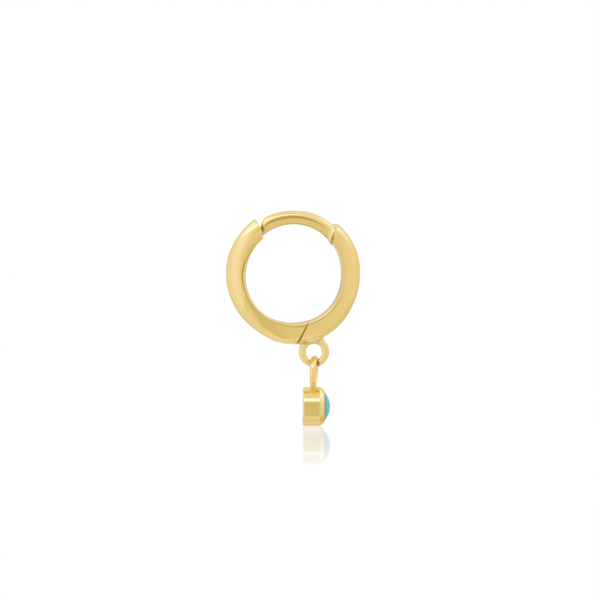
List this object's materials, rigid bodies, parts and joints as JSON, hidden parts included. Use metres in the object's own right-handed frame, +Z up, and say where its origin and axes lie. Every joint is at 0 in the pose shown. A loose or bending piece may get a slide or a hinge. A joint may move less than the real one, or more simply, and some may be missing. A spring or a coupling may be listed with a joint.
{
  "type": "hoop charm earring",
  "caption": "Hinged hoop earring of polished gold with a domed band, a slimmer ear post across its top and a round cup with a turquoise stone hanging from a ring.",
  "frame": {"origin": "middle of the ear post, where the closed earring sits in the ear", "axes": "+X from the back half to the front half, +Y along the hinge pin away from the viewer of the picture, +Z up with the charm hanging below"},
  "size_m": [0.011, 0.0032, 0.0175],
  "materials": {
    "gold": "polished",
    "turquoise": "polished"
  },
  "bodies": {
    "front": {"front_half": "gold", "hinge_pin": "gold"},
    "back": {"back_half": "gold"},
    "charm": {"charm_bezel": "gold", "cabochon": "turquoise"}
  },
  "joints": [
    {"name": "hinge_open", "type": "hinge", "parent": "front", "child": "back", "pos_m": [-0.00051, 0, -0.00958], "axis": [0, -1, 0], "range_deg": [0, 50]},
    {"name": "charm_swing", "type": "hinge", "parent": "front", "child": "charm", "pos_m": [0.00171, 0, -0.01195], "axis": [1, 0, 0], "range_deg": [-90, 90]}
  ]
}
